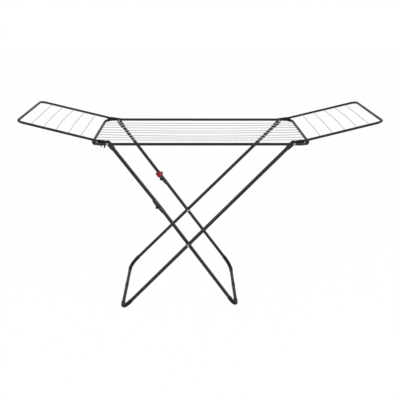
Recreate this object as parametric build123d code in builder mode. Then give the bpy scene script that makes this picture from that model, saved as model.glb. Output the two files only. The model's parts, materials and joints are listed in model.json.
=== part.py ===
from build123d import *
from math import cos, hypot, radians, sin, sqrt, tan
import os

os.makedirs("parts", exist_ok=True)

# A folding clothes airer. X runs along the rack, Y across it and Z up. The origin is on the floor,
# under the middle of the main frame. All sizes are millimetres.

# Main frame: one closed tube loop lying flat
frame_length = 1050.0  # between the axes of the two end bars
frame_width = 553.0  # between the axes of the two rails
rail_height = 912.0  # axis of the loop above the floor
frame_corner_radius = 50.0
frame_tube = 13.5
tube_wall = 1.0

# Drying wires
wire_diameter = 3.2
wire_hole_clearance = 0.15  # radial, in the drilled tubes
wire_end_inset = 3.0  # wire ends stop this far short of the tube axis
centre_wire_count = 8
centre_wire_pitch = 54.0
centre_wire_sags = (2.0, 2.0, 4.5, 7.0, 5.5, 8.0, 5.5, 2.5)  # from the back wire to the front one
wing_wire_count = 5
wing_wire_first = 134.0  # from the wing pivot
wing_wire_pitch = 60.0
wing_wire_bows = (1.5, 5.0, 8.0, 6.0, 2.0)  # from the inner wire to the outer one

# Pivots of the wings and legs, all on the same two cross lines
pivot_inset = 75.0  # inside the axes of the end bars
rivet_diameter = 6.0
rivet_head_diameter = 12.0
rivet_head_height = 2.5
rivet_head_round = 1.8
pivot_clearance = 0.05  # radial, rivet in its holes
seat_gap = 0.3  # between faces that turn past each other

# Wings: U tubes that fold out over the end bars
wing_tube = 12.0
wing_length = 440.0  # pivot to the axis of the outer bar
wing_rise = 14.0  # degrees above level when open
wing_layer = 16.0  # wing tube axis inside the rail axis, at the pivot
wing_taper = 7.0  # each side closes in by this much at the outer bar
wing_corner_radius = 32.0
wing_tail = 9.0  # tube beyond the pivot
plug_flange = 2.0
plug_depth = 5.0
sleeve_wall = 1.5
wing_sleeve_start = 20.0
wing_sleeve_length = 28.0
hook_first = 11.5  # first hook from the pivot
hook_pitch = 16.4
hook_widths = (7.0, 5.2, 4.4)  # from the pivot outwards
hook_reaches = (27.0, 26.0, 24.0)  # hook tips below the wing tube axis
hook_thickness = 4.0
hook_inset = 3.6  # middle of the hooks inside the wing tube axis
hook_round = 1.4
hook_back = 3.5  # height of the strip that joins the hooks
rest_length = 7.5  # wing rest collar along the frame tube
rest_bore_clearance = 0.3

# Legs
leg_tube = 18.0
leg_layer = 34.0  # leg tops inside the rail axis
leg_corner_radius = 60.0
outer_foot_reach = 865.0  # foot bar from the top pivot, level
outer_foot_inset = 0.5  # foot corner inside the rail axis
inner_foot_reach = 645.0
cross_gap = 3.0  # between the crossing tubes
eye_radius = 9.5
eye_width = 17.0
eye_round = 3.0
neck_half = 11.2  # half width of the flat neck below the eye
neck_rise = 10.0  # full width is reached this far below the pivot
neck_start = 26.0  # the neck turns round and narrows from here
neck_length = 44.0  # from the pivot to the end of the leg tube
neck_flat = 1.5  # flat sides of the neck inside the eye faces
spigot_length = 22.0
spigot_clearance = 0.05
foot_sleeve_wall = 1.6
foot_sleeve_bar = 82.0  # cover from the corner along the foot bar
foot_sleeve_leg = 72.0  # cover from the corner up the leg
sole_flat = 0.4  # depth of the flat ground on each foot sleeve
foot_joint_length = 26.0
foot_joint_wall = 0.9

# Knees that break the inner leg
knee_distance = 409.0  # from the top pivot along the leg
knee_inset = 9.0  # knee layer inside the leg tops
knee_bow = 2.7  # tubes meet this far past the straight line, away from the hinge
knee_offset = 15.5  # hinge pin from the tube axis
knuckle_radius = 5.5
knuckle_half = 4.0  # half width of the middle knuckle
fork_gap = 0.8
fork_plate = 4.0
knee_sleeve_wall = 0.8
knee_sleeve_start = 6.0
knee_sleeve_length = 38.0
knee_bore_clearance = 0.05
butt_gap = 0.6  # each tube end from the joint plane
gusset_shoulder = 13.2  # height of the gusset beside the knuckle, from the tube axis
gusset_neck = 10.0  # length of the web that carries the knuckle
gusset_tip = 1.4  # height left at the far end, above the tube
pin_head_diameter = 9.0
pin_head_height = 1.5

# Red safety catch on the back knee
catch_clearance = 0.2
catch_wall = 2.2
catch_cheek = 19.0  # reach of the two cheeks past the tube axis
catch_start = 14.0
catch_length = 30.0
catch_round = 1.5  # ends of the clip
catch_lip = 3.0  # corners of the cheeks and the thumb pad
catch_tab_start = 20.0
catch_tab_length = 13.0
catch_tab_width = 13.0
catch_tab_reach = 18.5

# Values worked out from the sizes above
wire_radius = wire_diameter / 2
frame_radius = frame_tube / 2
wing_radius = wing_tube / 2
leg_radius = leg_tube / 2
rivet_radius = rivet_diameter / 2
rail_half = frame_width / 2
bar_half = frame_length / 2
pivot_x = bar_half - pivot_inset
wing_half = rail_half - wing_layer
leg_half = rail_half - leg_layer
knee_half = leg_half - knee_inset
outer_foot_half = rail_half - outer_foot_inset
foot_axis = leg_radius + foot_sleeve_wall - sole_flat
fork_inner = knuckle_half + fork_gap
fork_outer = fork_inner + fork_plate
knee_sleeve_radius = leg_radius + knee_sleeve_wall
across = Vector(0, 1, 0)

outer_pivot = Vector(pivot_x, 0, rail_height)
inner_pivot = Vector(-pivot_x, 0, rail_height)
outer_foot = Vector(pivot_x - outer_foot_reach, 0, foot_axis)
inner_foot = Vector(inner_foot_reach - pivot_x, 0, foot_axis)
outer_length = (outer_foot - outer_pivot).length
outer_along = (outer_foot - outer_pivot).normalized()
inner_along = (inner_foot - inner_pivot).normalized()

# Knee of the inner leg, its hinge pin and the straight lower half
hinge_side = across.cross(inner_along)
knee_mid = inner_pivot + inner_along * knee_distance - hinge_side * knee_bow
hinge_pin = knee_mid + hinge_side * knee_offset
lower_length = (inner_foot - knee_mid).length
lower_along = (inner_foot - knee_mid).normalized()


def turn(first, second):
    """Signed area between two directions in the X-Z plane."""
    return first.X * second.Z - first.Z * second.X


# Cross pivot, where the outer leg passes the lower half of the inner leg
cross_distance = turn(knee_mid - outer_pivot, lower_along) / turn(outer_along, lower_along)
cross_point = outer_pivot + outer_along * cross_distance
outer_cross_half = leg_half + (outer_foot_half - leg_half) * cross_distance / outer_length
inner_cross_half = outer_cross_half - leg_tube - cross_gap
lower_cross = (cross_point - knee_mid).length
inner_foot_half = knee_half + (inner_cross_half - knee_half) * lower_length / lower_cross


def save(piece, name):
    """Label a finished piece and write it under its own name."""
    piece.part.label = name
    export_step(piece.part, f"parts/{name}.step")


def blend_value(start, end, share):
    """Value part of the way from start to end."""
    return start + (end - start) * share


def outer_leg_half(distance):
    """Half width of the outer leg at a distance below its pivot."""
    return blend_value(leg_half, outer_foot_half, distance / outer_length)


def lower_leg_half(distance):
    """Half width of the lower half of the inner leg, at a distance below the knee."""
    return blend_value(knee_half, inner_foot_half, distance / lower_length)


def wing_side_half(distance):
    """Half width of a wing at a distance from its pivot."""
    return wing_half - wing_taper * distance / wing_length


def flat_plane(origin, along):
    """Plane through a line in the X-Z plane, with its second axis across the rack."""
    return Plane(origin=origin, x_dir=along, z_dir=along.cross(across))


def wing_plane(side):
    """Plane of an open wing: side is -1 on the left and 1 on the right."""
    rise = radians(wing_rise)
    return flat_plane(Vector(side * pivot_x, 0, rail_height), Vector(side * cos(rise), 0, sin(rise)))


def side_plane(origin, along):
    """Plane beside a leg: first axis down the tube, second towards the hinge side of a knee."""
    return Plane(origin=origin, x_dir=along, z_dir=(across - along * along.Y).normalized())


outer_plane = flat_plane(outer_pivot, outer_along)
lower_leg_plane = flat_plane(knee_mid, lower_along)


def sweep_tube(path, outer_radius, inner_radius):
    """Sweep a ring section along a path in the part being built."""
    with BuildSketch(Plane(origin=path @ 0, z_dir=path % 0)) as section:
        Circle(outer_radius)
        Circle(inner_radius, mode=Mode.SUBTRACT)
    sweep(sections=section.sketch, path=path)


def tube_along(start, direction, length, outer_radius, inner_radius):
    """Extrude a straight ring section in the part being built."""
    with BuildSketch(Plane(origin=start, z_dir=direction)) as section:
        Circle(outer_radius)
        if inner_radius > 0:
            Circle(inner_radius, mode=Mode.SUBTRACT)
    extrude(to_extrude=section.sketch, amount=length)


def bore(start, direction, length, radius):
    """Cut a round hole in the part being built."""
    with BuildSketch(Plane(origin=start, z_dir=direction)) as section:
        Circle(radius)
    extrude(to_extrude=section.sketch, amount=length, mode=Mode.SUBTRACT)


def cross_hole(x, z, y, half_length, radius):
    """Cut a hole across the rack, centred on a tube axis."""
    bore(Vector(x, y - half_length, z), across, 2 * half_length, radius)


def rivet(x, z, inner_y, outer_y, inner_head, outer_head):
    """Round-headed rivet across the rack, between two faces."""
    tube_along(Vector(x, inner_y, z), across, outer_y - inner_y, rivet_radius, 0)
    if outer_head:
        tube_along(Vector(x, outer_y, z), across, rivet_head_height, rivet_head_diameter / 2, 0)
        fillet(faces().sort_by(Axis.Y)[-1].edges(), radius=rivet_head_round)
    if inner_head:
        tube_along(Vector(x, inner_y, z), -across, rivet_head_height, rivet_head_diameter / 2, 0)
        fillet(faces().sort_by(Axis.Y)[0].edges(), radius=rivet_head_round)


# Main frame tube, drilled for the wires and the pivots
frame_plane = Plane.XY.offset(rail_height)
centre_wire_places = [
    (centre_wire_count - 1) * centre_wire_pitch / 2 - i * centre_wire_pitch for i in range(centre_wire_count)
]
with BuildPart() as frame_loop:
    with BuildLine(frame_plane) as half_loop:
        FilletPolyline(
            (0, -rail_half),
            (bar_half, -rail_half),
            (bar_half, rail_half),
            (0, rail_half),
            radius=frame_corner_radius,
        )
    sweep_tube(half_loop.line, frame_radius, frame_radius - tube_wall)
    for y in centre_wire_places:
        bore(
            Vector(bar_half - 2 * frame_radius, y, rail_height),
            Vector(1, 0, 0),
            2 * frame_radius,
            wire_radius + wire_hole_clearance,
        )
    for side in (-1, 1):
        cross_hole(pivot_x, rail_height, side * rail_half, frame_tube, rivet_radius + pivot_clearance)
    mirror(about=Plane.YZ)
save(frame_loop, "frame_tube")

# Centre wires, each with its own slight sag
for number, y in enumerate(centre_wire_places):
    reach = bar_half - wire_end_inset
    sag = centre_wire_sags[number % len(centre_wire_sags)]
    with BuildPart() as centre_wire:
        with BuildLine(Plane.XZ.offset(-y)) as wire_path:
            ThreePointArc((-reach, rail_height), (0, rail_height - sag), (reach, rail_height))
        with BuildSketch(Plane(origin=wire_path.line @ 0, z_dir=wire_path.line % 0)):
            Circle(wire_radius)
        sweep(path=wire_path.line)
    save(centre_wire, f"centre_wire_{number + 1}")

# Wing rests: collars on the four frame corners, under the open wing tubes
corner_x = bar_half - frame_corner_radius
corner_y = rail_half - frame_corner_radius
rest_y = wing_side_half(bar_half - pivot_x)
rest_sine = (rest_y - corner_y) / frame_corner_radius
rest_cosine = sqrt(1 - rest_sine**2)
rest_x = corner_x + frame_corner_radius * rest_cosine
rest_rise = Vector(cos(radians(wing_rise)), 0, sin(radians(wing_rise)))
rest_normal = rest_rise.cross(Vector(-rest_sine, rest_cosine, 0)).normalized()
rest_lift = (rest_x - pivot_x) * tan(radians(wing_rise)) * rest_normal.Z
rest_radius = rest_lift - wing_radius - seat_gap
for side, side_name in ((-1, "left"), (1, "right")):
    for face, face_name in ((-1, "front"), (1, "rear")):
        rest_along = Vector(-side * rest_sine, face * rest_cosine, 0)
        rest_start = Vector(side * rest_x, face * rest_y, rail_height) - rest_along * (rest_length / 2)
        with BuildPart() as wing_rest:
            tube_along(rest_start, rest_along, rest_length, rest_radius, frame_radius + rest_bore_clearance)
            fillet(wing_rest.edges().filter_by(GeomType.CIRCLE).group_by(SortBy.RADIUS)[-1], radius=0.8)
        save(wing_rest, f"wing_rest_{side_name}_{face_name}")

# Wings: tube, wires, end plugs and the sleeves between rest and pivot
for side, side_name in ((-1, "left"), (1, "right")):
    plane = wing_plane(side)
    wing_along = plane.x_dir
    wire_places = [wing_wire_first + i * wing_wire_pitch for i in range(wing_wire_count)]
    with BuildPart() as wing:
        with BuildLine(plane) as wing_path:
            FilletPolyline(
                (-wing_tail, -wing_side_half(-wing_tail)),
                (wing_length, -wing_side_half(wing_length)),
                (wing_length, wing_side_half(wing_length)),
                (-wing_tail, wing_side_half(-wing_tail)),
                radius=wing_corner_radius,
            )
        sweep_tube(wing_path.line, wing_radius, wing_radius - tube_wall)
        for face in (-1, 1):
            cross_hole(side * pivot_x, rail_height, face * wing_half, wing_tube, rivet_radius + pivot_clearance)
            for place in wire_places:
                tube_axis = plane.from_local_coords(Vector(place, face * wing_side_half(place), 0))
                bore(tube_axis, across * -face, 2 * wing_radius, wire_radius + wire_hole_clearance)
    save(wing, f"{side_name}_wing_tube")

    for number, place in enumerate(wire_places):
        reach = wing_side_half(place) - wire_end_inset
        bow = wing_wire_bows[number % len(wing_wire_bows)]
        with BuildPart() as wing_wire:
            with BuildLine(plane) as wire_path:
                ThreePointArc((place, -reach), (place + bow, 0), (place, reach))
            with BuildSketch(Plane(origin=wire_path.line @ 0, z_dir=wire_path.line % 0)):
                Circle(wire_radius)
            sweep(path=wire_path.line)
        save(wing_wire, f"{side_name}_wing_wire_{number + 1}")

    with BuildPart() as wing_plugs:
        for face in (-1, 1):
            tail = plane.from_local_coords(Vector(-wing_tail, face * wing_side_half(-wing_tail), 0))
            pivot = Vector(side * pivot_x, face * wing_half, rail_height)
            inward = (pivot - tail).normalized()
            tube_along(tail, -inward, plug_flange, wing_radius, 0)
            tube_along(tail, inward, plug_depth, wing_radius - tube_wall - spigot_clearance, 0)
    save(wing_plugs, f"{side_name}_wing_plugs")

    for face, face_name in ((-1, "front"), (1, "rear")):
        sleeve_start = plane.from_local_coords(Vector(wing_sleeve_start, face * wing_side_half(wing_sleeve_start), 0))
        sleeve_dir = Vector(wing_length, -face * wing_taper, 0)
        sleeve_dir = (plane.from_local_coords(sleeve_dir) - plane.origin).normalized()
        with_hooks = side == -1 and face == -1
        with BuildPart() as wing_sleeve:
            tube_along(sleeve_start, sleeve_dir, wing_sleeve_length, wing_radius + sleeve_wall, 0)
            if with_hooks:
                hook_places = [hook_first + i * hook_pitch for i in range(len(hook_widths))]
                hook_mid = (hook_places[0] + hook_places[-1]) / 2
                hook_face = Plane(
                    origin=plane.from_local_coords(Vector(0, face * (wing_side_half(hook_mid) - hook_inset), 0)),
                    x_dir=wing_along,
                    z_dir=across,
                )
                with BuildSketch(hook_face.offset(-hook_thickness / 2)) as comb:
                    hook_root = wing_radius / 2
                    with Locations((hook_mid, side * (hook_root + wing_radius + hook_back) / 2)):
                        Rectangle(hook_places[-1] - hook_places[0], wing_radius + hook_back - hook_root)
                    for place, width, reach in zip(hook_places, hook_widths, hook_reaches):
                        with Locations((place, side * (hook_root + reach) / 2)):
                            Rectangle(width, reach - hook_root)
                    tips = [corner for corner in comb.vertices() if corner.Y < -wing_radius - 2 * hook_back]
                    fillet(tips, radius=hook_round)
                extrude(amount=hook_thickness)
            bore(
                sleeve_start - sleeve_dir * wing_length / 2,
                sleeve_dir,
                wing_length,
                wing_radius + spigot_clearance,
            )
        name = f"{side_name}_{face_name}_wing_sleeve"
        save(wing_sleeve, "left_front_hook_sleeve" if with_hooks else name)

# Rivets and spacers of the wing and leg pivots. On the left the leg has its own studs.
rail_outer = rail_half + frame_radius
rail_inner = rail_half - frame_radius
wing_outer = wing_half + wing_radius
wing_inner = wing_half - wing_radius
eye_outer = leg_half + eye_width / 2
eye_inner = leg_half - eye_width / 2
with BuildPart() as left_rivets:
    rivet(-pivot_x, rail_height, wing_inner, rail_outer, False, True)
    mirror(about=Plane.XZ)
save(left_rivets, "left_pivot_rivets")

with BuildPart() as right_rivets:
    rivet(pivot_x, rail_height, eye_inner - seat_gap, rail_outer, True, True)
    mirror(about=Plane.XZ)
save(right_rivets, "right_pivot_rivets")

for side, side_name in ((-1, "left"), (1, "right")):
    with BuildPart() as spacers:
        tube_along(
            Vector(side * pivot_x, wing_outer + seat_gap, rail_height),
            across,
            rail_inner - wing_outer - seat_gap,
            rivet_head_diameter / 2,
            rivet_radius + pivot_clearance,
        )
        mirror(about=Plane.XZ)
    save(spacers, f"{side_name}_pivot_spacers")


def leg_tube_u(plane, start, start_half, length, foot_half):
    """Sweep a U-shaped leg with its two sides and its foot bar."""
    with BuildLine(plane) as leg_path:
        FilletPolyline(
            (start, -start_half),
            (length, -foot_half),
            (length, foot_half),
            (start, start_half),
            radius=leg_corner_radius,
        )
    sweep_tube(leg_path.line, leg_radius, leg_radius - tube_wall)


def foot_sleeve(plane, start, start_half, length, foot_half, face):
    """Sleeve round one foot corner, ground flat where it stands."""
    corner = Vector(length, face * foot_half)
    up_leg = (Vector(start, face * start_half) - corner).normalized()
    up_end = corner + up_leg * foot_sleeve_leg
    bar_end = corner - Vector(0, face * foot_sleeve_bar)
    with BuildLine(plane) as sleeve_path:
        FilletPolyline(
            (up_end.X, up_end.Y),
            (corner.X, corner.Y),
            (bar_end.X, bar_end.Y),
            radius=leg_corner_radius,
        )
    sweep_tube(sleeve_path.line, leg_radius + foot_sleeve_wall, leg_radius)
    split(bisect_by=Plane.XY, keep=Keep.TOP)


def foot_joint(foot):
    """Thin sleeve over the joint in the middle of a foot bar."""
    start = foot - across * (foot_joint_length / 2)
    tube_along(start, across, foot_joint_length, leg_radius + foot_joint_wall, leg_radius)


def leg_fitting(pivot, along):
    """Moulded eye at the top of a leg, with a flat neck and a spigot inside the tube."""
    tube_along(pivot - across * (eye_width / 2), across, eye_width, eye_radius, 0)
    fillet(edges().filter_by(GeomType.CIRCLE), radius=eye_round)
    with BuildSketch(side_plane(pivot, along)) as neck:
        Polygon(
            (0, -eye_radius),
            (neck_rise, -neck_half),
            (neck_start, -neck_half),
            (neck_length, -leg_radius),
            (neck_length, leg_radius),
            (neck_start, neck_half),
            (neck_rise, neck_half),
            (0, eye_radius),
            align=None,
        )
    extrude(to_extrude=neck.sketch, amount=eye_width / 2 - neck_flat, both=True)
    round_start = pivot + along * neck_start
    round_length = neck_length - neck_start
    tube_along(round_start, along, round_length, leg_radius, 0)
    tube_along(round_start, along, round_length + spigot_length, leg_radius - tube_wall - spigot_clearance, 0)
    cross_hole(pivot.X, pivot.Z, pivot.Y, eye_width, rivet_radius + pivot_clearance)


# Outer leg: one U tube, with a moulded eye on each top end
with BuildPart() as outer_leg:
    leg_tube_u(outer_plane, neck_length, outer_leg_half(neck_length), outer_length, outer_foot_half)
    for face in (-1, 1):
        cross_hole(cross_point.X, cross_point.Z, face * outer_cross_half, leg_tube, rivet_radius + pivot_clearance)
save(outer_leg, "outer_leg_tube")

for face, face_name in ((-1, "front"), (1, "rear")):
    top = Vector(pivot_x, face * leg_half, rail_height)
    foot = outer_foot + across * (face * outer_foot_half)
    with BuildPart() as fitting:
        leg_fitting(top, (foot - top).normalized())
    save(fitting, f"outer_leg_eye_{face_name}")
    with BuildPart() as outer_sleeve:
        foot_sleeve(outer_plane, 0, leg_half, outer_length, outer_foot_half, face)
    save(outer_sleeve, f"outer_foot_sleeve_{face_name}")

with BuildPart() as outer_joint:
    foot_joint(outer_foot)
save(outer_joint, "outer_foot_bar_joint")

# Cross pivot of the two legs: rivets and the spacers between the tubes
cross_outer = outer_cross_half + leg_radius + seat_gap
cross_inner = inner_cross_half - leg_radius - seat_gap
with BuildPart() as cross_rivets:
    rivet(cross_point.X, cross_point.Z, cross_inner, cross_outer, True, True)
    mirror(about=Plane.XZ)
save(cross_rivets, "cross_rivets")

with BuildPart() as cross_spacers:
    spacer_start = inner_cross_half + leg_radius + seat_gap
    tube_along(
        Vector(cross_point.X, spacer_start, cross_point.Z),
        across,
        outer_cross_half - leg_radius - seat_gap - spacer_start,
        rivet_head_diameter / 2,
        rivet_radius + pivot_clearance,
    )
    mirror(about=Plane.XZ)
save(cross_spacers, "cross_spacers")

# Inner leg below the knees: one U tube
with BuildPart() as lower_leg:
    leg_tube_u(lower_leg_plane, butt_gap, lower_leg_half(butt_gap), lower_length, inner_foot_half)
    for face in (-1, 1):
        cross_hole(cross_point.X, cross_point.Z, face * inner_cross_half, leg_tube, rivet_radius + pivot_clearance)
save(lower_leg, "inner_lower_leg_tube")

with BuildPart() as inner_joint:
    foot_joint(inner_foot)
save(inner_joint, "inner_foot_bar_joint")


def gusset_outline(plane, direction, root):
    """Web with the hinge knuckle, and a low gusset along the sleeve: direction is -1 above, 1 below."""
    pin = plane.to_local_coords(hinge_pin + across * plane.origin.Y)
    far_end = direction * (knee_sleeve_start + knee_sleeve_length - 2)
    web_start = direction * knee_sleeve_start
    web_end = direction * gusset_neck
    with Locations((pin.X, pin.Y)):
        Circle(knuckle_radius)
    with Locations(((web_start + web_end) / 2, (root + gusset_shoulder) / 2)):
        Rectangle(abs(web_end - web_start), gusset_shoulder - root)
    make_hull()
    Polygon(
        (web_start, root),
        (web_start, gusset_shoulder),
        (web_end, gusset_shoulder),
        (far_end, leg_radius + gusset_tip),
        (far_end, root),
        align=None,
    )


def knee_cuts(knee, along):
    """Clear the leg tube and the hinge pin out of a knee half."""
    bore(knee - along * leg_corner_radius, along, 2 * leg_corner_radius, leg_radius + knee_bore_clearance)
    cross_hole(hinge_pin.X, hinge_pin.Z, knee.Y, 2 * fork_outer, rivet_radius + pivot_clearance)


for face, face_name in ((-1, "front"), (1, "rear")):
    top = Vector(-pivot_x, face * leg_half, rail_height)
    knee = knee_mid + across * (face * knee_half)
    foot = inner_foot + across * (face * inner_foot_half)
    down_upper = (knee - top).normalized()
    down_lower = (foot - knee).normalized()
    upper_plane = side_plane(knee, down_upper)
    lower_plane = side_plane(knee, down_lower)

    with BuildPart() as inner_sleeve:
        foot_sleeve(lower_leg_plane, 0, knee_half, lower_length, inner_foot_half, face)
    save(inner_sleeve, f"inner_foot_sleeve_{face_name}")

    # Lower knee half: sleeve, one middle gusset and the middle knuckle
    with BuildPart() as lower_knee:
        tube_along(knee + down_lower * knee_sleeve_start, down_lower, knee_sleeve_length, knee_sleeve_radius, 0)
        with BuildSketch(lower_plane):
            gusset_outline(lower_plane, 1, leg_radius - 1)
        extrude(amount=knuckle_half, both=True)
        knee_cuts(knee, down_lower)
    save(lower_knee, f"lower_knee_bracket_{face_name}")

    # Upper knee half: sleeve and a fork of two gusset plates
    with BuildPart() as upper_knee:
        tube_along(knee - down_upper * knee_sleeve_start, -down_upper, knee_sleeve_length, knee_sleeve_radius, 0)
        for plate_start in (fork_inner, -fork_outer):
            plate_plane = upper_plane.offset(plate_start)
            with BuildSketch(plate_plane):
                gusset_outline(plate_plane, -1, 2)
            extrude(amount=fork_plate)
        knee_cuts(knee, down_upper)
    save(upper_knee, f"upper_knee_bracket_{face_name}")

    with BuildPart() as upper_leg:
        tube_start = top + down_upper * neck_length
        tube_length = (knee - tube_start).length - butt_gap
        tube_along(tube_start, down_upper, tube_length, leg_radius, leg_radius - tube_wall)
    save(upper_leg, f"inner_upper_leg_tube_{face_name}")

    with BuildPart() as upper_eye:
        leg_fitting(top, down_upper)
    save(upper_eye, f"inner_leg_eye_{face_name}")

with BuildPart() as leg_studs:
    rivet(-pivot_x, rail_height, eye_inner - seat_gap, eye_outer, True, False)
    mirror(about=Plane.XZ)
save(leg_studs, "inner_leg_studs")

with BuildPart() as knee_pins:
    pin_half = fork_outer + seat_gap
    tube_along(Vector(hinge_pin.X, knee_half - pin_half, hinge_pin.Z), across, 2 * pin_half, rivet_radius, 0)
    for direction in (-1, 1):
        tube_along(
            Vector(hinge_pin.X, knee_half + direction * pin_half, hinge_pin.Z),
            across * direction,
            pin_head_height,
            pin_head_diameter / 2,
            0,
        )
    mirror(about=Plane.XZ)
save(knee_pins, "knee_pins")

# Safety catch: a C-shaped clip with a thumb pad, which slides on the upper half of the back knee
knee = knee_mid + across * knee_half
down_upper = (knee - Vector(-pivot_x, leg_half, rail_height)).normalized()
catch_plane = side_plane(knee, down_upper)
catch_bore = knee_sleeve_radius + catch_clearance
catch_slot = fork_outer + catch_clearance
with BuildPart() as safety_catch:
    section = Plane(origin=knee - down_upper * catch_start, x_dir=catch_plane.z_dir, z_dir=-down_upper)
    cheek_place = catch_slot + catch_wall - catch_lip
    with BuildSketch(section):
        Circle(catch_bore + catch_wall)
        with Locations((-cheek_place, catch_cheek - catch_lip), (cheek_place, catch_cheek - catch_lip)):
            Circle(catch_lip)
        make_hull()
    extrude(amount=catch_length)
    fillet(faces().group_by(Axis(section.origin, section.z_dir))[0].edges(), radius=catch_round)
    fillet(faces().group_by(Axis(section.origin, section.z_dir))[-1].edges(), radius=catch_round)
    with BuildSketch(catch_plane):
        pad_root = -(catch_bore + catch_wall / 2)
        with Locations((-catch_tab_start, pad_root)):
            Rectangle(catch_tab_length, catch_tab_reach + pad_root, align=(Align.MAX, Align.MAX))
        fillet(vertices().group_by(Axis.Y)[0], radius=catch_lip)
    extrude(amount=catch_tab_width / 2, both=True)
    with BuildSketch(section.offset(-1)):
        Circle(catch_bore)
        Rectangle(2 * catch_slot, 2 * catch_cheek, align=(Align.CENTER, Align.MIN))
    extrude(amount=catch_length + 2, mode=Mode.SUBTRACT)
save(safety_catch, "safety_catch")
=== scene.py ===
import json
from math import cos, hypot, pi, radians, sin

import bmesh
import bpy
from bpy.props import FloatProperty, FloatVectorProperty, IntProperty, PointerProperty
from bpy.types import Operator, Panel, PropertyGroup
from mathutils import Matrix, Vector


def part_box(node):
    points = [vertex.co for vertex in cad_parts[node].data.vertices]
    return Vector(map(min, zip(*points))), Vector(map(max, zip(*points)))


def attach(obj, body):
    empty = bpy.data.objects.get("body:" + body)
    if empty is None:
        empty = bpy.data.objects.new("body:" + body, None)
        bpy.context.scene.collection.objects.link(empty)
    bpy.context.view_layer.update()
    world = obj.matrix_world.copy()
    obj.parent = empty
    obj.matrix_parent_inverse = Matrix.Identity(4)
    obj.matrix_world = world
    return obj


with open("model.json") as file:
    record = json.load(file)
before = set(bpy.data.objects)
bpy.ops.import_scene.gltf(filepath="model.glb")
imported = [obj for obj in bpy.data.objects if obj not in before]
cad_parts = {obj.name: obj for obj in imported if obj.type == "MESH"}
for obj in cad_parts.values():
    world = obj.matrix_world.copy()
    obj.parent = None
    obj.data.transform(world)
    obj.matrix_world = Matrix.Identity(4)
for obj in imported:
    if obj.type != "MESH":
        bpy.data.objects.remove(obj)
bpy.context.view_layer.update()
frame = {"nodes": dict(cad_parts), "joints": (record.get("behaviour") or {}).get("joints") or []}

bl_info = {
    "name": "Folding Clothes Airer",
    "version": (1, 0, 0),
    "blender": (4, 5, 0),
    "location": "View3D > Sidebar > Airer",
    "description": "Finishes a folding winged clothes airer and sets its studio stage",
    "category": "Object",
}

NODES = frame["nodes"]

WHITE = (1.0, 1.0, 1.0, 1.0)
GRAIN_DEPTH = 0.0002
LEAST_ROUGHNESS = 0.02
CREST_TAIL_STEPS = 6
FLOOR_DROP = 0.0006
SENSOR_WIDTH = 36.0
VIEW_DISTANCE = 100.0


# Kinds of setting


def color_setting(name, description, default):
    return FloatVectorProperty(
        name=name,
        description=description,
        subtype="COLOR",
        size=3,
        min=0.0,
        max=1.0,
        default=default,
    )


def share_setting(name, description, default):
    return FloatProperty(
        name=name,
        description=description,
        subtype="FACTOR",
        min=0.0,
        max=1.0,
        default=default,
    )


def length_setting(name, description, default):
    return FloatProperty(
        name=name,
        description=description,
        subtype="DISTANCE",
        min=0.0,
        max=60.0,
        default=default,
    )


def angle_setting(name, description, degrees):
    return FloatProperty(
        name=name,
        description=description,
        subtype="ANGLE",
        default=radians(degrees),
    )


def place_setting(name, description, default):
    return FloatVectorProperty(
        name=name,
        description=description,
        subtype="XYZ",
        unit="LENGTH",
        size=3,
        default=default,
    )


def power_setting(name, description, default):
    return FloatProperty(
        name=name,
        description=description,
        unit="POWER",
        min=0.0,
        max=2000.0,
        default=default,
    )


class AirerFinish(PropertyGroup):
    """Colours and surface of the airer's pieces."""

    tube_color: color_setting(
        "Tube Coat", "Dark powder coat on frame, wings and legs", (0.0115, 0.0115, 0.012)
    )
    tube_roughness: share_setting("Tube Roughness", "Roughness of the powder coat", 0.46)
    wire_color: color_setting("Wire Coat", "Pale coat on the drying wires", (0.29, 0.295, 0.305))
    plastic_color: color_setting(
        "Black Plastic", "Mouldings on the legs and on the wing ends", (0.0055, 0.0052, 0.0085)
    )
    foot_color: color_setting(
        "Foot Plastic", "Sleeves on the foot corners and foot bars", (0.004, 0.004, 0.0046)
    )
    rubber_color: color_setting(
        "Wing Rest Rubber", "Rubber collars under the open wings", (0.007, 0.007, 0.008)
    )
    catch_color: color_setting(
        "Safety Catch Red", "Red plastic of the catch on the back knee", (0.175, 0.0045, 0.019)
    )
    rivet_color: color_setting(
        "Rivet Plating", "Bright plating of the rivets and studs", (0.3, 0.305, 0.315)
    )


class AirerWingCovers(PropertyGroup):
    """Sizes of the moulded crests on top of the wing ends, above the pivots."""

    wing_rise: angle_setting("Wing Rise", "How far an open wing stands above level", 14.0)
    tail: length_setting("Tail", "How far a crest reaches past the pivot", 0.0115)
    tail_rounding: share_setting("Tail Rounding", "Share of the tail that is rounded off", 0.5)
    reach: length_setting("Reach", "How far a crest reaches along the wing from the pivot", 0.046)
    crown: length_setting(
        "Crown", "Height of a crest over the wing tube's middle line, at the pivot", 0.0125
    )
    half_width: length_setting("Half Width", "Half the width of a crest over the tube", 0.00625)
    tube_radius: length_setting(
        "Tube Radius", "Radius of the wing tube under the tail of a crest", 0.006
    )
    sleeve_radius: length_setting(
        "Sleeve Radius", "Radius of the wing sleeve that the crest runs out on", 0.0075
    )
    sleeve_start: length_setting(
        "Sleeve Start", "Where the wing sleeve starts, from the pivot", 0.02
    )
    skin: length_setting("Skin", "Least thickness of a crest over the tube or sleeve", 0.0003)
    edge_turn: angle_setting(
        "Edge", "How far above the tube's side the lower edges of a crest lie", 32.0
    )
    sharp_turn: angle_setting("Sharp Edge", "Least turn of an edge that is shaded sharp", 40.0)
    arch_points: IntProperty(
        name="Arch Points",
        description="Points across a crest",
        min=7,
        max=65,
        default=21,
    )


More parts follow.
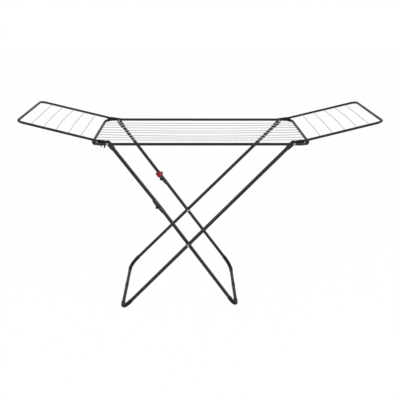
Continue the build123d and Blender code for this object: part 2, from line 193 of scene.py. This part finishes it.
class AirerStage(PropertyGroup):
    """Camera, floor and lights."""

    camera_place: place_setting(
        "Camera Place", "Where the camera stands", (-0.0589, -3.0927, 1.6427)
    )
    camera_pitch: angle_setting("Camera Pitch", "How far the camera looks down", 19.833)
    camera_yaw: angle_setting("Camera Yaw", "How far the camera looks to the right", 1.12)
    camera_roll: angle_setting("Camera Roll", "Tilt of the picture", 0.28)
    camera_lens: FloatProperty(
        name="Lens",
        description="Focal length on a sensor 36 mm wide",
        unit="CAMERA",
        min=10.0,
        max=300.0,
        default=54.243,
    )
    floor_size: length_setting("Floor Size", "Side of the square floor", 24.0)
    floor_color: color_setting("Floor", "Matte floor that takes the shadow", (0.86, 0.86, 0.86))
    floor_white: share_setting(
        "Floor White", "How much of the floor shows as plain white, over its shadow", 0.985
    )
    lamp_size: length_setting("Lamp Size", "Side of each square soft light", 1.8)
    lamp_target: place_setting("Lamp Target", "What both lights point at", (0.0, 0.0, 0.6))
    key_place: place_setting("Key Place", "Soft light at the front left", (-3.2, -2.2, 2.8))
    key_power: power_setting("Key Power", "Power of the light at the front left", 135.0)
    fill_place: place_setting("Fill Place", "Soft light at the front right", (3.4, -1.8, 2.0))
    fill_power: power_setting("Fill Power", "Power of the light at the front right", 125.0)
    sky_strength: FloatProperty(
        name="Sky",
        description="Strength of the even light from all sides",
        min=0.0,
        max=2.0,
        default=0.4,
    )


def airer_finish():
    return bpy.context.scene.airer_finish


def airer_covers():
    return bpy.context.scene.airer_covers


def airer_stage():
    return bpy.context.scene.airer_stage


# Shader helpers


def link(tree, from_socket, to_socket):
    tree.links.new(from_socket, to_socket)


def add_node(tree, kind, place, **values):
    node = tree.nodes.new(kind)
    node.location = place
    for name, value in values.items():
        setattr(node, name, value)
    return node


def new_group(name, inputs, outputs):
    """Make an empty shader group with its named sockets."""
    group = bpy.data.node_groups.new(name, "ShaderNodeTree")
    for label, kind, value in inputs:
        socket = group.interface.new_socket(label, in_out="INPUT", socket_type=kind)
        socket.default_value = value
    for label, kind in outputs:
        group.interface.new_socket(label, in_out="OUTPUT", socket_type=kind)
    source = add_node(group, "NodeGroupInput", (-900, 0))
    target = add_node(group, "NodeGroupOutput", (700, 0))
    return group, source, target


def map_range(tree, place, value, low, high):
    """Spread a mask from 0..1 over low..high."""
    node = add_node(tree, "ShaderNodeMapRange", place)
    link(tree, value, node.inputs["Value"])
    node.inputs["To Min"].default_value = low
    node.inputs["To Max"].default_value = high
    return node.outputs["Result"]


def surface_grain_group():
    """Fine grain, broad mottling and settled dust, from the object's own coordinates in metres."""
    name = "Airer Surface Grain"
    if name in bpy.data.node_groups:
        return bpy.data.node_groups[name]
    group, source, target = new_group(
        name,
        [
            ("Grain Scale", "NodeSocketFloat", 900.0),
            ("Mottle Scale", "NodeSocketFloat", 12.0),
        ],
        [
            ("Grain", "NodeSocketFloat"),
            ("Mottle", "NodeSocketFloat"),
            ("Dust", "NodeSocketFloat"),
        ],
    )
    coordinates = add_node(group, "ShaderNodeTexCoord", (-900, -260))
    grain = add_node(group, "ShaderNodeTexNoise", (-500, 200))
    grain.inputs["Detail"].default_value = 3.0
    grain.inputs["Roughness"].default_value = 0.6
    link(group, coordinates.outputs["Object"], grain.inputs["Vector"])
    link(group, source.outputs["Grain Scale"], grain.inputs["Scale"])
    mottle = add_node(group, "ShaderNodeTexNoise", (-500, -60))
    mottle.inputs["Detail"].default_value = 4.0
    link(group, coordinates.outputs["Object"], mottle.inputs["Vector"])
    link(group, source.outputs["Mottle Scale"], mottle.inputs["Scale"])
    # Dust lies in patches, and only on what faces up.
    facing = add_node(group, "ShaderNodeSeparateXYZ", (-500, -320))
    link(group, coordinates.outputs["Normal"], facing.inputs["Vector"])
    upward = add_node(group, "ShaderNodeMapRange", (-260, -320), interpolation_type="SMOOTHSTEP")
    upward.inputs["From Min"].default_value = 0.35
    upward.inputs["From Max"].default_value = 1.0
    link(group, facing.outputs["Z"], upward.inputs["Value"])
    patchy = add_node(group, "ShaderNodeMath", (0, -260), operation="MULTIPLY")
    link(group, upward.outputs["Result"], patchy.inputs[0])
    link(group, mottle.outputs["Fac"], patchy.inputs[1])
    link(group, grain.outputs["Fac"], target.inputs["Grain"])
    link(group, mottle.outputs["Fac"], target.inputs["Mottle"])
    link(group, patchy.outputs["Value"], target.inputs["Dust"])
    return group


def scaled(color, factor):
    """Colour for a socket, darker or lighter by a factor."""
    return (*(min(1.0, channel * factor) for channel in color), 1.0)


def coated_material(
    name,
    color,
    *,
    roughness,
    grain_scale,
    bump,
    mottle_scale=12.0,
    spread=0.12,
    shade=0.82,
    dust=1.5,
    gloss=0.5,
):
    """Principled surface with grain, mottled colour and roughness, and a little dust on top.

    The roughness strays by spread, the mottling goes from shade times the colour to as much
    lighter, settled dust is dust times the colour, and gloss is the specular level.
    """
    material = bpy.data.materials.new(name)
    material.use_nodes = True
    tree = material.node_tree
    shader = tree.nodes["Principled BSDF"]
    shader.inputs["Specular IOR Level"].default_value = gloss
    grain = add_node(tree, "ShaderNodeGroup", (-900, 0), node_tree=surface_grain_group())
    grain.inputs["Grain Scale"].default_value = grain_scale
    grain.inputs["Mottle Scale"].default_value = mottle_scale
    tone = add_node(tree, "ShaderNodeMix", (-620, 220), data_type="RGBA")
    tone.inputs["A"].default_value = scaled(color, shade)
    tone.inputs["B"].default_value = scaled(color, 2.0 - shade)
    link(tree, grain.outputs["Mottle"], tone.inputs["Factor"])
    dusty = add_node(tree, "ShaderNodeMix", (-380, 220), data_type="RGBA")
    dusty.inputs["B"].default_value = scaled(color, dust)
    link(tree, tone.outputs["Result"], dusty.inputs["A"])
    link(tree, grain.outputs["Dust"], dusty.inputs["Factor"])
    link(tree, dusty.outputs["Result"], shader.inputs["Base Color"])
    low, high = max(LEAST_ROUGHNESS, roughness - spread), roughness + spread
    dulled = map_range(tree, (-620, -40), grain.outputs["Mottle"], low, high)
    link(tree, dulled, shader.inputs["Roughness"])
    relief = add_node(tree, "ShaderNodeBump", (-380, -260))
    relief.inputs["Strength"].default_value = bump
    relief.inputs["Distance"].default_value = GRAIN_DEPTH
    link(tree, grain.outputs["Grain"], relief.inputs["Height"])
    link(tree, relief.outputs["Normal"], shader.inputs["Normal"])
    return material


def moulded_plastic(name, gloss):
    """Fine-grained black moulding."""
    return coated_material(
        name,
        airer_finish().plastic_color,
        roughness=0.46,
        grain_scale=2400.0,
        bump=0.5,
        mottle_scale=60.0,
        dust=2.0,
        gloss=gloss,
    )


def finish_nodes(names, material):
    """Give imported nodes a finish, in place of their plain one."""
    for name in names:
        data = NODES[name].data
        data.materials.clear()
        data.materials.append(material)


def nodes_with(*words):
    """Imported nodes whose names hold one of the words."""
    return sorted(name for name in NODES if any(word in name for word in words))


class AIRER_OT_tubes(Operator):
    """Powder coat on the frame loop, the wing tubes and the leg tubes"""

    bl_idname = "airer.tubes"
    bl_label = "Tubes"

    def execute(self, context):
        finish = airer_finish()
        coat = coated_material(
            "tube_powder_coat",
            finish.tube_color,
            roughness=finish.tube_roughness,
            grain_scale=1100.0,
            bump=0.45,
            dust=1.2,
            gloss=0.2,
        )
        finish_nodes(nodes_with("_tube"), coat)
        return {"FINISHED"}


class AIRER_OT_wires(Operator):
    """Pale coat on the drying wires"""

    bl_idname = "airer.wires"
    bl_label = "Drying Wires"

    def execute(self, context):
        coat = coated_material(
            "wire_coat",
            airer_finish().wire_color,
            roughness=0.35,
            grain_scale=2200.0,
            bump=0.08,
            mottle_scale=30.0,
            shade=0.9,
            dust=1.1,
        )
        finish_nodes(nodes_with("_wire_"), coat)
        return {"FINISHED"}


class AIRER_OT_fittings(Operator):
    """Black mouldings on the legs: eyes, knees with their pins, and spacers"""

    bl_idname = "airer.fittings"
    bl_label = "Leg Fittings"

    def execute(self, context):
        plastic = moulded_plastic("black_moulding", gloss=0.42)
        finish_nodes(nodes_with("_eye_", "_knee_bracket_", "knee_pins", "_spacers"), plastic)
        return {"FINISHED"}


# Wing ends


def crest_sections(cover):
    """Place along the wing, radius underneath and height of each section, tail first."""
    end_height = cover.sleeve_radius + cover.skin
    flush_height = cover.tube_radius + cover.skin

    def crest_height(along):
        return cover.crown + (end_height - cover.crown) * along / cover.reach

    sections = []
    rounded = cover.tail_rounding * cover.tail
    for step in range(CREST_TAIL_STEPS + 1):
        turn = step / CREST_TAIL_STEPS * pi / 2
        along = -cover.tail + rounded * (1 - cos(turn))
        height = flush_height + (crest_height(along) - flush_height) * sin(turn)
        sections.append((along, cover.tube_radius, height))
    # The underside steps from the tube up to the sleeve just before the sleeve starts.
    for along, radius in (
        (0.0, cover.tube_radius),
        (cover.sleeve_start / 2, cover.tube_radius),
        (cover.sleeve_start - 2 * cover.skin, cover.tube_radius),
        (cover.sleeve_start - cover.skin, cover.sleeve_radius),
        ((cover.sleeve_start + cover.reach) / 2, cover.sleeve_radius),
        (cover.reach, cover.sleeve_radius),
    ):
        sections.append((along, radius, crest_height(along)))
    return sections


def crest_ring(cover, radius, height):
    """Points (across, up) of one section: over the arch, and back along the tube or sleeve."""
    outer, inner = [], []
    for step in range(cover.arch_points):
        turn = cover.edge_turn + (pi - 2 * cover.edge_turn) * step / (cover.arch_points - 1)
        ellipse = hypot(height * cos(turn), cover.half_width * sin(turn))
        arch = max(cover.half_width * height / ellipse, radius + cover.skin)
        outer.append((arch * cos(turn), arch * sin(turn)))
        inner.append((radius * cos(turn), radius * sin(turn)))
    return outer + inner[::-1]


def crest_mesh(name, pivot, side):
    """Closed shell of one crest; side is -1 for the left wing and 1 for the right one."""
    cover = airer_covers()
    rise = cover.wing_rise
    outward = Vector((side * cos(rise), 0.0, sin(rise)))
    upward = Vector((-side * sin(rise), 0.0, cos(rise)))
    across = Vector((0.0, 1.0, 0.0))
    shape = bmesh.new()
    rings = []
    for along, radius, height in crest_sections(cover):
        middle = pivot + outward * along
        points = crest_ring(cover, radius, height)
        rings.append([shape.verts.new(middle + across * y + upward * z) for y, z in points])
    count = len(rings[0])
    for near, far in zip(rings, rings[1:]):
        for i in range(count):
            j = (i + 1) % count
            shape.faces.new((near[i], near[j], far[j], far[i]))
    for ring in (rings[0], rings[-1]):
        for i in range(cover.arch_points - 1):
            shape.faces.new((ring[i], ring[i + 1], ring[count - 2 - i], ring[count - 1 - i]))
    bmesh.ops.recalc_face_normals(shape, faces=shape.faces)
    for face in shape.faces:
        face.smooth = True
    for edge in shape.edges:
        edge.smooth = edge.calc_face_angle(0.0) < cover.sharp_turn
    mesh = bpy.data.meshes.new(name)
    shape.to_mesh(mesh)
    shape.free()
    return mesh


def add_wing_cover(name, wing, sleeve, side, material):
    """Set one crest on a wing end, over the fold joint and in line with the sleeve."""
    joint = next(joint for joint in frame["joints"] if joint["name"] == wing + "_fold")
    pivot = Vector(joint["pos_m"])
    low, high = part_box(sleeve)
    pivot.y = (low.y + high.y) / 2
    mesh = crest_mesh(name, pivot, side)
    mesh.materials.append(material)
    piece = bpy.data.objects.new(name, mesh)
    bpy.context.scene.collection.objects.link(piece)
    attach(piece, wing)


class AIRER_OT_wing_covers(Operator):
    """Black mouldings on the wing ends: sleeves, plugs and the crests over the pivots"""

    bl_idname = "airer.wing_covers"
    bl_label = "Wing End Mouldings"

    def execute(self, context):
        plastic = moulded_plastic("wing_moulding", gloss=0.12)
        sleeves = nodes_with("_hook_sleeve", "_wing_sleeve")
        finish_nodes(sleeves + nodes_with("_plugs"), plastic)
        sides = {"left": -1, "right": 1}
        for sleeve in sleeves:
            hand, end = sleeve.split("_")[:2]
            wing = f"{hand}_wing"
            add_wing_cover(f"{wing}_{end}_cover", wing, sleeve, sides[hand], plastic)
        return {"FINISHED"}


class AIRER_OT_feet(Operator):
    """Foot sleeves and the joint sleeves of the foot bars"""

    bl_idname = "airer.feet"
    bl_label = "Feet"

    def execute(self, context):
        plastic = coated_material(
            "foot_plastic",
            airer_finish().foot_color,
            roughness=0.62,
            grain_scale=1800.0,
            bump=0.5,
            mottle_scale=40.0,
            dust=1.3,
            gloss=0.16,
        )
        finish_nodes(nodes_with("_foot_"), plastic)
        return {"FINISHED"}


class AIRER_OT_wing_rests(Operator):
    """Rubber collars that the open wings lie on"""

    bl_idname = "airer.wing_rests"
    bl_label = "Wing Rests"

    def execute(self, context):
        rubber = coated_material(
            "rest_rubber",
            airer_finish().rubber_color,
            roughness=0.62,
            grain_scale=2400.0,
            bump=0.45,
            mottle_scale=80.0,
            gloss=0.12,
        )
        finish_nodes(nodes_with("wing_rest"), rubber)
        return {"FINISHED"}


class AIRER_OT_rivets(Operator):
    """Plated rivets and studs"""

    bl_idname = "airer.rivets"
    bl_label = "Rivets"

    def execute(self, context):
        plating = coated_material(
            "rivet_plating",
            airer_finish().rivet_color,
            roughness=0.24,
            grain_scale=2600.0,
            bump=0.08,
            mottle_scale=160.0,
            spread=0.08,
            shade=0.9,
            dust=1.0,
        )
        plating.node_tree.nodes["Principled BSDF"].inputs["Metallic"].default_value = 1.0
        finish_nodes(nodes_with("_rivets", "_studs"), plating)
        return {"FINISHED"}


class AIRER_OT_catch(Operator):
    """Red safety catch on the back knee"""

    bl_idname = "airer.catch"
    bl_label = "Safety Catch"

    def execute(self, context):
        red = coated_material(
            "catch_red_plastic",
            airer_finish().catch_color,
            roughness=0.34,
            grain_scale=2200.0,
            bump=0.25,
            mottle_scale=70.0,
            shade=0.94,
            dust=1.05,
            gloss=0.3,
        )
        finish_nodes(["safety_catch"], red)
        return {"FINISHED"}


# Stage


def seen_directly(tree):
    """1 for what the camera sees, also by way of a reflection or through glass."""
    path = add_node(tree, "ShaderNodeLightPath", (-700, 300))
    seen = path.outputs["Is Camera Ray"]
    for x, ray in ((-480, "Is Glossy Ray"), (-280, "Is Transmission Ray")):
        either = add_node(tree, "ShaderNodeMath", (x, 300), operation="MAXIMUM")
        link(tree, seen, either.inputs[0])
        link(tree, path.outputs[ray], either.inputs[1])
        seen = either.outputs["Value"]
    return seen


def mix_shaders(tree, factor, lit, white):
    """Change from the lit shader to the white one by a factor."""
    mix = add_node(tree, "ShaderNodeMixShader", (160, 200))
    link(tree, factor, mix.inputs["Fac"])
    link(tree, lit, mix.inputs[1])
    link(tree, white, mix.inputs[2])
    return mix.outputs["Shader"]


def floor_material(stage):
    """Matte floor that shows as nearly plain white, with a trace of shadow."""
    material = bpy.data.materials.new("studio_floor_white")
    material.use_nodes = True
    tree = material.node_tree
    tree.nodes.remove(tree.nodes["Principled BSDF"])
    matte = add_node(tree, "ShaderNodeBsdfDiffuse", (-80, -80))
    matte.inputs["Color"].default_value = scaled(stage.floor_color, 1.0)
    white = add_node(tree, "ShaderNodeEmission", (-80, 80))
    white.inputs["Color"].default_value = WHITE
    white.inputs["Strength"].default_value = 1.0
    weight = add_node(tree, "ShaderNodeMath", (-80, 300), operation="MULTIPLY")
    link(tree, seen_directly(tree), weight.inputs[0])
    weight.inputs[1].default_value = stage.floor_white
    shown = mix_shaders(
        tree, weight.outputs["Value"], matte.outputs["BSDF"], white.outputs["Emission"]
    )
    link(tree, shown, tree.nodes["Material Output"].inputs["Surface"])
    return material


def add_floor(stage):
    mesh = bpy.data.meshes.new("studio_floor")
    shape = bmesh.new()
    bmesh.ops.create_grid(shape, x_segments=1, y_segments=1, size=stage.floor_size / 2)
    shape.to_mesh(mesh)
    shape.free()
    floor = bpy.data.objects.new("studio_floor", mesh)
    bpy.context.scene.collection.objects.link(floor)
    floor.location.z = -FLOOR_DROP
    mesh.materials.append(floor_material(stage))


def add_soft_light(name, place, power, stage):
    lamp = bpy.data.lights.new(name, "AREA")
    lamp.shape = "RECTANGLE"
    lamp.size = lamp.size_y = stage.lamp_size
    lamp.energy = power
    light = bpy.data.objects.new(name, lamp)
    bpy.context.scene.collection.objects.link(light)
    light.location = place
    aim = Vector(stage.lamp_target) - Vector(place)
    light.rotation_euler = aim.to_track_quat("-Z", "Y").to_euler()


def set_world(stage):
    """Even sky that lights the airer, and plain white where it is seen."""
    world = bpy.data.worlds.new("studio_sky")
    bpy.context.scene.world = world
    world.use_nodes = True
    tree = world.node_tree
    sky = tree.nodes["Background"]
    sky.inputs["Color"].default_value = WHITE
    sky.inputs["Strength"].default_value = stage.sky_strength
    white = add_node(tree, "ShaderNodeBackground", (-80, 120))
    white.inputs["Color"].default_value = WHITE
    white.inputs["Strength"].default_value = 1.0
    shown = mix_shaders(
        tree, seen_directly(tree), sky.outputs["Background"], white.outputs["Background"]
    )
    link(tree, shown, tree.nodes["World Output"].inputs["Surface"])


def add_camera(stage):
    data = bpy.data.cameras.new("studio_camera")
    data.sensor_fit = "HORIZONTAL"
    data.sensor_width = SENSOR_WIDTH
    data.lens = stage.camera_lens
    data.clip_end = VIEW_DISTANCE
    camera = bpy.data.objects.new("studio_camera", data)
    bpy.context.scene.collection.objects.link(camera)
    turn = (
        Matrix.Rotation(-stage.camera_yaw, 4, "Z")
        @ Matrix.Rotation(pi / 2 - stage.camera_pitch, 4, "X")
        @ Matrix.Rotation(stage.camera_roll, 4, "Z")
    )
    camera.matrix_world = Matrix.Translation(stage.camera_place) @ turn
    bpy.context.scene.camera = camera


class AIRER_OT_stage(Operator):
    """White floor, even sky, soft lights and the camera"""

    bl_idname = "airer.stage"
    bl_label = "Studio Stage"

    def execute(self, context):
        stage = airer_stage()
        context.scene.view_settings.view_transform = "Standard"
        add_floor(stage)
        set_world(stage)
        add_soft_light("key_light", stage.key_place, stage.key_power, stage)
        add_soft_light("fill_light", stage.fill_place, stage.fill_power, stage)
        add_camera(stage)
        return {"FINISHED"}


class AIRER_PT_panel(Panel):
    """Lists the airer's pieces and settings"""

    bl_idname = "AIRER_PT_panel"
    bl_label = "Clothes Airer"
    bl_space_type = "VIEW_3D"
    bl_region_type = "UI"
    bl_category = "Airer"

    def draw(self, context):
        layout = self.layout
        for operator in OPERATORS:
            layout.operator(operator.bl_idname)
        for group in (airer_finish(), airer_covers(), airer_stage()):
            box = layout.box()
            for name in group.__annotations__:
                box.prop(group, name)


OPERATORS = (
    AIRER_OT_tubes,
    AIRER_OT_wires,
    AIRER_OT_fittings,
    AIRER_OT_wing_covers,
    AIRER_OT_feet,
    AIRER_OT_wing_rests,
    AIRER_OT_rivets,
    AIRER_OT_catch,
    AIRER_OT_stage,
)
CLASSES = (AirerFinish, AirerWingCovers, AirerStage, *OPERATORS, AIRER_PT_panel)


def register():
    for cls in CLASSES:
        bpy.utils.register_class(cls)
    bpy.types.Scene.airer_finish = PointerProperty(type=AirerFinish)
    bpy.types.Scene.airer_covers = PointerProperty(type=AirerWingCovers)
    bpy.types.Scene.airer_stage = PointerProperty(type=AirerStage)


def unregister():
    del bpy.types.Scene.airer_stage
    del bpy.types.Scene.airer_covers
    del bpy.types.Scene.airer_finish
    for cls in reversed(CLASSES):
        bpy.utils.unregister_class(cls)


def main():
    register()
    bpy.ops.airer.tubes()
    bpy.ops.airer.wires()
    bpy.ops.airer.fittings()
    bpy.ops.airer.wing_covers()
    bpy.ops.airer.feet()
    bpy.ops.airer.wing_rests()
    bpy.ops.airer.rivets()
    bpy.ops.airer.catch()
    bpy.ops.airer.stage()


if __name__ == "__main__":
    main()
